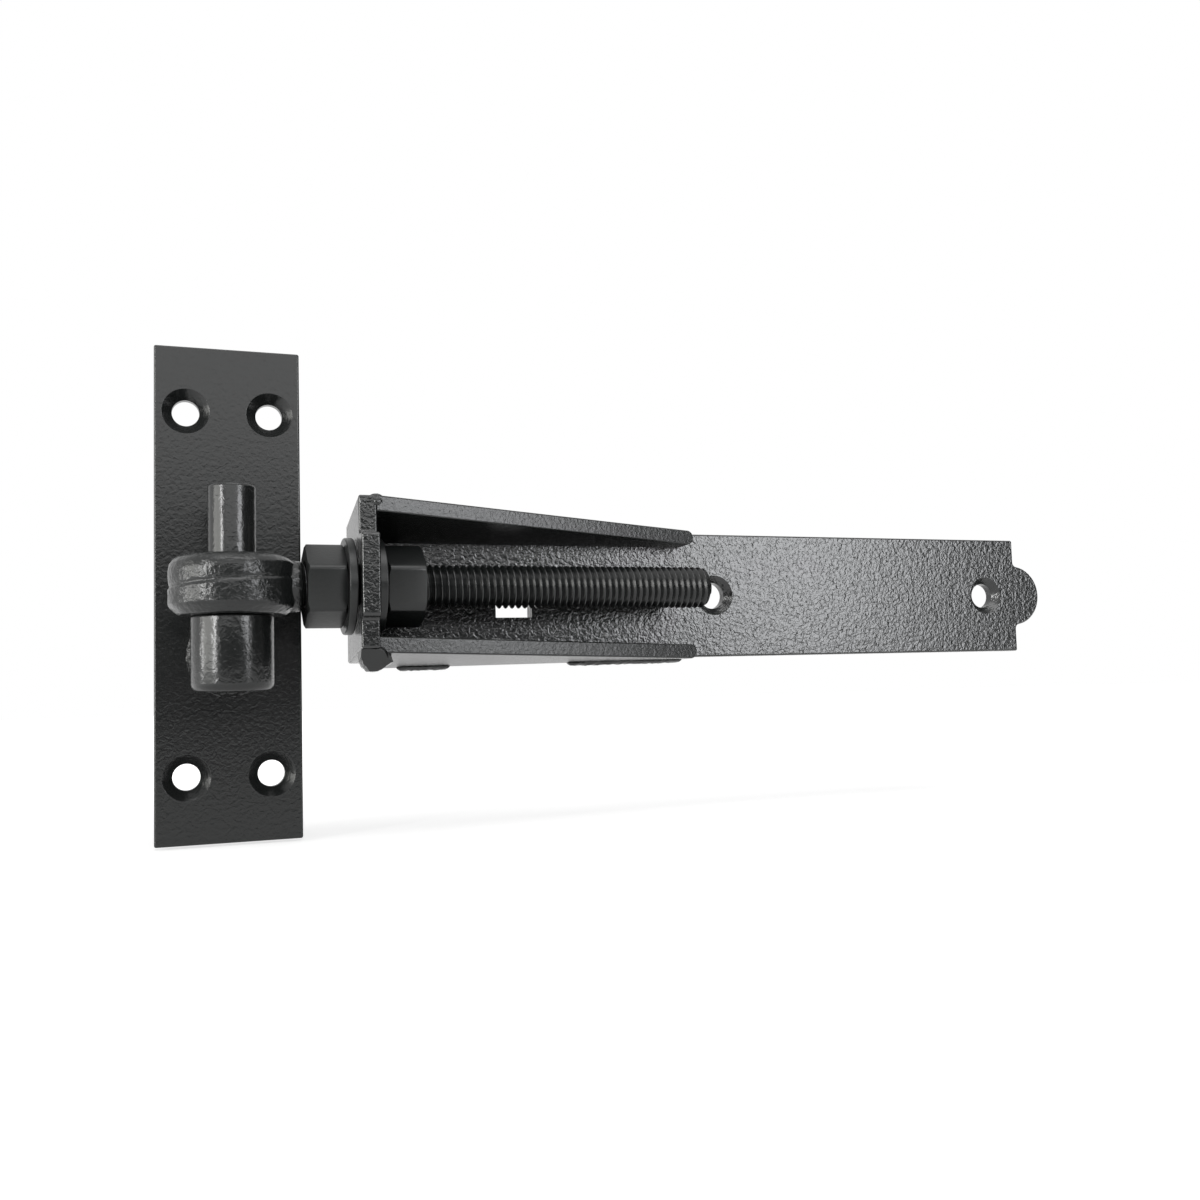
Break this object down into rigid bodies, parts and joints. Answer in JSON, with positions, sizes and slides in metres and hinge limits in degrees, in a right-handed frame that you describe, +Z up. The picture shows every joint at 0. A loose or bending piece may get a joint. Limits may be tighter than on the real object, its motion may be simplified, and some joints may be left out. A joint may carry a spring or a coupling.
{
  "type": "adjustable gate hinge",
  "caption": "Hook-and-plate gate hinge whose gusseted strap is set along the threaded shank of its eye by nuts.",
  "frame": {"origin": "middle of the back plate's back face, where it lies on the post", "axes": "+Z up along the hinge pin, +X from the pin to the strap's tail, +Y into the post"},
  "size_m": [0.3024, 0.0407, 0.141],
  "materials": {
    "textured_coat": "semi-gloss black powder coat with an orange-peel texture",
    "smooth_coat": "semi-gloss black powder coat over turned and forged steel",
    "black_fastener": "matt black coated steel"
  },
  "bodies": {
    "post_plate": {"back_plate": "textured_coat", "hinge_pin": "smooth_coat", "pin_weld": "textured_coat"},
    "eye_bolt": {"eye_bolt": "smooth_coat"},
    "strap_body": {"strap": "textured_coat", "upper_gusset": "textured_coat", "lower_gusset": "textured_coat", "upper_corner_weld": "textured_coat", "lower_corner_weld": "textured_coat", "upper_tail_weld": "textured_coat", "lower_head_weld": "textured_coat", "lower_tail_weld": "textured_coat", "outer_washer": "black_fastener", "inner_washer": "black_fastener"},
    "outer_nut": {"outer_nut": "black_fastener"},
    "inner_nut": {"inner_nut": "black_fastener"}
  },
  "joints": [
    {"name": "swing", "type": "hinge", "parent": "post_plate", "child": "eye_bolt", "pos_m": [0, -0.0242, 0], "axis": [0, 0, 1], "range_deg": [-195, 18]},
    {"name": "adjust", "type": "slide", "parent": "eye_bolt", "child": "strap_body", "axis": [1, 0, 0], "range_m": [0, 0.085]},
    {"name": "outer_nut_turn", "type": "hinge", "parent": "strap_body", "child": "outer_nut", "pos_m": [0.0188, -0.0242, 0], "axis": [1, 0, 0], "range_deg": [0, 15671]},
    {"name": "inner_nut_turn", "type": "hinge", "parent": "strap_body", "child": "inner_nut", "pos_m": [0.0404, -0.0242, 0], "axis": [1, 0, 0], "range_deg": [0, 15671]}
  ],
  "couplings": [
    {"joint": "outer_nut_turn", "follows": "adjust", "rad_per_m": 3215.6},
    {"joint": "inner_nut_turn", "follows": "adjust", "rad_per_m": 3215.6}
  ]
}
